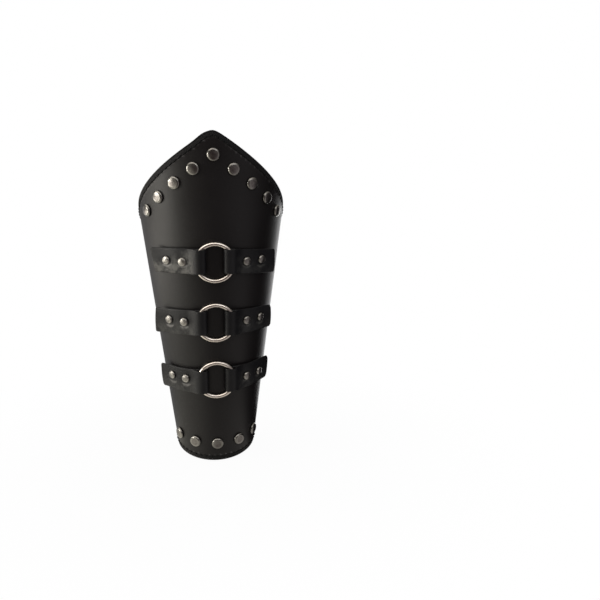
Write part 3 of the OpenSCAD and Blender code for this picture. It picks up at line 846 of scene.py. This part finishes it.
base_metal = cap_finish("base_nickel", (0.44, 0.42, 0.39, 1), (0.60, 0.58, 0.54, 1), 0.24)
eyelet_metal = cap_finish("eyelet_gunmetal", (0.17, 0.155, 0.145, 1), (0.33, 0.31, 0.29, 1), 0.24)
for node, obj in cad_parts.items():
    if node.endswith("_posts"):
        finish = base_metal
    elif "eyelet" in node:
        finish = eyelet_metal
    else:
        continue
    obj.data.materials.clear()
    obj.data.materials.append(finish)

# Floor, light and camera.
# A white floor, a wide soft window at the left, a weak fill and a lens 0.5 m away. Shiny surfaces
# mirror a room of their own, while everything else is lit by an even pale sky.

def surround(f, across, depth, left, near=0.0, lean=0.0):
    """What shiny surfaces mirror: light at the left and behind, a dim room in front, dark at the right."""
    side = f.add("ShaderNodeMath", {"operation": "ARCTAN2"}, {0: across, 1: 0 - depth}) + lean
    shade = f.blend(f.step(side, 0.2, 0.95), (0.052, 0.030, 0.030, 1), (0.40, 0.37, 0.375, 1))
    shade = f.blend(near, shade, (0.78, 0.76, 0.69, 1))
    shade = f.blend(f.step(side, -0.17, -1.10), shade, left)
    shade = f.blend(f.step(side, -1.7, -2.4), shade, (0.42, 0.42, 0.43, 1))
    shade = f.blend(f.step(side, 1.12, 1.42), shade, (0.010, 0.008, 0.010, 1))
    return f.blend(f.step(side, 2.28, 2.6), shade, (2.6, 2.6, 2.6, 1))


white = Finish("white_floor")
place = white.add("ShaderNodeTexCoord", {}, {}, "Object")
across, depth = [white.add("ShaderNodeSeparateXYZ", {}, {0: place}, axis) for axis in ("X", "Y")]
away = (across * across + depth * depth) ** 0.5
seen = white.add("ShaderNodeLightPath", {}, {}, "Is Camera Ray")
mirrored = white.add("ShaderNodeLightPath", {}, {}, "Is Glossy Ray")
through = white.add("ShaderNodeLightPath", {}, {}, "Is Transmission Ray")
# Painted reflection: to mirrored rays alone the floor glows with a painted room, a bright painted pool of sunlight at
# the left, lighter near the object in front and dark at the right.
sunlit = white.step(away, 0.52, 0.74) * white.step(depth, -0.50, -0.22)
left = white.blend(sunlit, (0.93, 0.90, 0.79, 1), (6.8, 6.5, 5.9, 1))
left = white.blend(white.step(away, 0.90, 1.30), left, (0.23, 0.225, 0.195, 1))
lean = 0.12 * white.step(away, 0.08, 0.14) * white.step(across, 0.0, 0.05)
lean = lean - 0.15 * white.step(away, 0.16, 0.55, 1.0, 0.0) * white.step(across, 0.02, -0.02)
near = white.step(away, 0.08, 0.34, 0.5, 0.04)
shown = white.blend(mirrored, (1, 1, 1, 1), surround(white, across, depth, left, near, lean))
glow = white.add("ShaderNodeEmission", {}, {"Color": shown, "Strength": 1.0})
matte = white.add("ShaderNodeBsdfDiffuse", {}, {"Color": (0.9, 0.9, 0.9, 1)})
amount = (seen + through) * white.step(away, 0.06, 0.30, 0.955, 1.0) + mirrored
lit = white.add("ShaderNodeMixShader", {}, {0: amount, 1: matte, 2: glow})
white.add("ShaderNodeOutputMaterial", {}, {"Surface": lit})
reach, under = 6, -0.0004
corners = [(-reach, -reach, under), (reach, -reach, under), (reach, reach, under), (-reach, reach, under)]
floor = solid("floor", corners, [(0, 1, 2, 3)], [white.material])

world = bpy.data.worlds.new("studio")
bpy.context.scene.world = world
world.use_nodes = True
sky = Finish("studio_sky")
bpy.data.materials.remove(sky.material)
sky.tree = world.node_tree
sky.tree.nodes.clear()
seen = sky.add("ShaderNodeLightPath", {}, {}, "Is Camera Ray")
mirrored = sky.add("ShaderNodeLightPath", {}, {}, "Is Glossy Ray")
through = sky.add("ShaderNodeLightPath", {}, {}, "Is Transmission Ray")
facing = sky.add("ShaderNodeTexCoord", {}, {}, "Generated")
parts = [sky.add("ShaderNodeSeparateXYZ", {}, {0: facing}, axis) for axis in ("X", "Y", "Z")]
room = surround(sky, parts[0], parts[1], (0.23, 0.225, 0.195, 1))
room = sky.blend(sky.step(parts[2], -0.02, 0.22, 0, 0.7), room, (0.05, 0.045, 0.042, 1))
ceiling = sky.blend(sky.step(parts[0], 0.3, -0.5), (0.50, 0.475, 0.44, 1), (2.0, 1.9, 1.75, 1))
room = sky.blend(sky.step(parts[2], 0.42, 0.72), room, ceiling)
room = sky.blend(mirrored, (0.66, 0.66, 0.67, 1), room)
backdrop = sky.add("ShaderNodeMath", {"operation": "MINIMUM"}, {0: seen + through, 1: 1.0})
shade = sky.blend(backdrop, room, (1, 1, 1, 1))
behind = sky.add("ShaderNodeBackground", {}, {"Color": shade, "Strength": 1.0})
sky.add("ShaderNodeOutputWorld", {}, {"Surface": behind})


def lamp(name, place, aim, wide, tall, watts, colour):
    data = bpy.data.lights.new(name, "AREA")
    data.shape, data.size, data.size_y, data.energy, data.color = "RECTANGLE", wide, tall, watts, colour
    obj = bpy.data.objects.new(name, data)
    obj.location = place
    obj.rotation_euler = (Vector(aim) - Vector(place)).to_track_quat("-Z", "Y").to_euler()
    obj.visible_camera = False
    bpy.context.scene.collection.objects.link(obj)
    return obj


lamp("window", (-1.10, -0.22, 0.30), (0, 0, 0.17), 0.5, 0.26, 5.4, (1.0, 0.97, 0.90))
lamp("fill", (0.5, -1.0, 1.0), (0, 0, 0.12), 0.8, 0.8, 2.6, (1, 1, 1))

camera = bpy.data.cameras.new("camera")
camera.sensor_width, camera.lens = 36, 36.0
camera.clip_start, camera.clip_end = 0.01, 20
eye = bpy.data.objects.new("camera", camera)
bpy.context.scene.collection.objects.link(eye)
yaw, pitch, tilt = math.radians(9.8961), math.radians(-8.1919), math.radians(0.0369)
ahead = Vector((math.sin(yaw) * math.cos(pitch), math.cos(yaw) * math.cos(pitch), math.sin(pitch)))
right = Vector((math.cos(yaw), -math.sin(yaw), 0))
up = right.cross(ahead)
height, off, aside = 0.124089, 0.488343, 0.070258
spot = Vector((0, 0, height)) - off * ahead + aside * right
right, up = math.cos(tilt) * right + math.sin(tilt) * up, math.cos(tilt) * up - math.sin(tilt) * right
eye.matrix_world = Matrix.Translation(spot) @ Matrix((right, up, -ahead)).transposed().to_4x4()
bpy.context.scene.camera = eye
bpy.context.scene.view_settings.view_transform = "Standard"
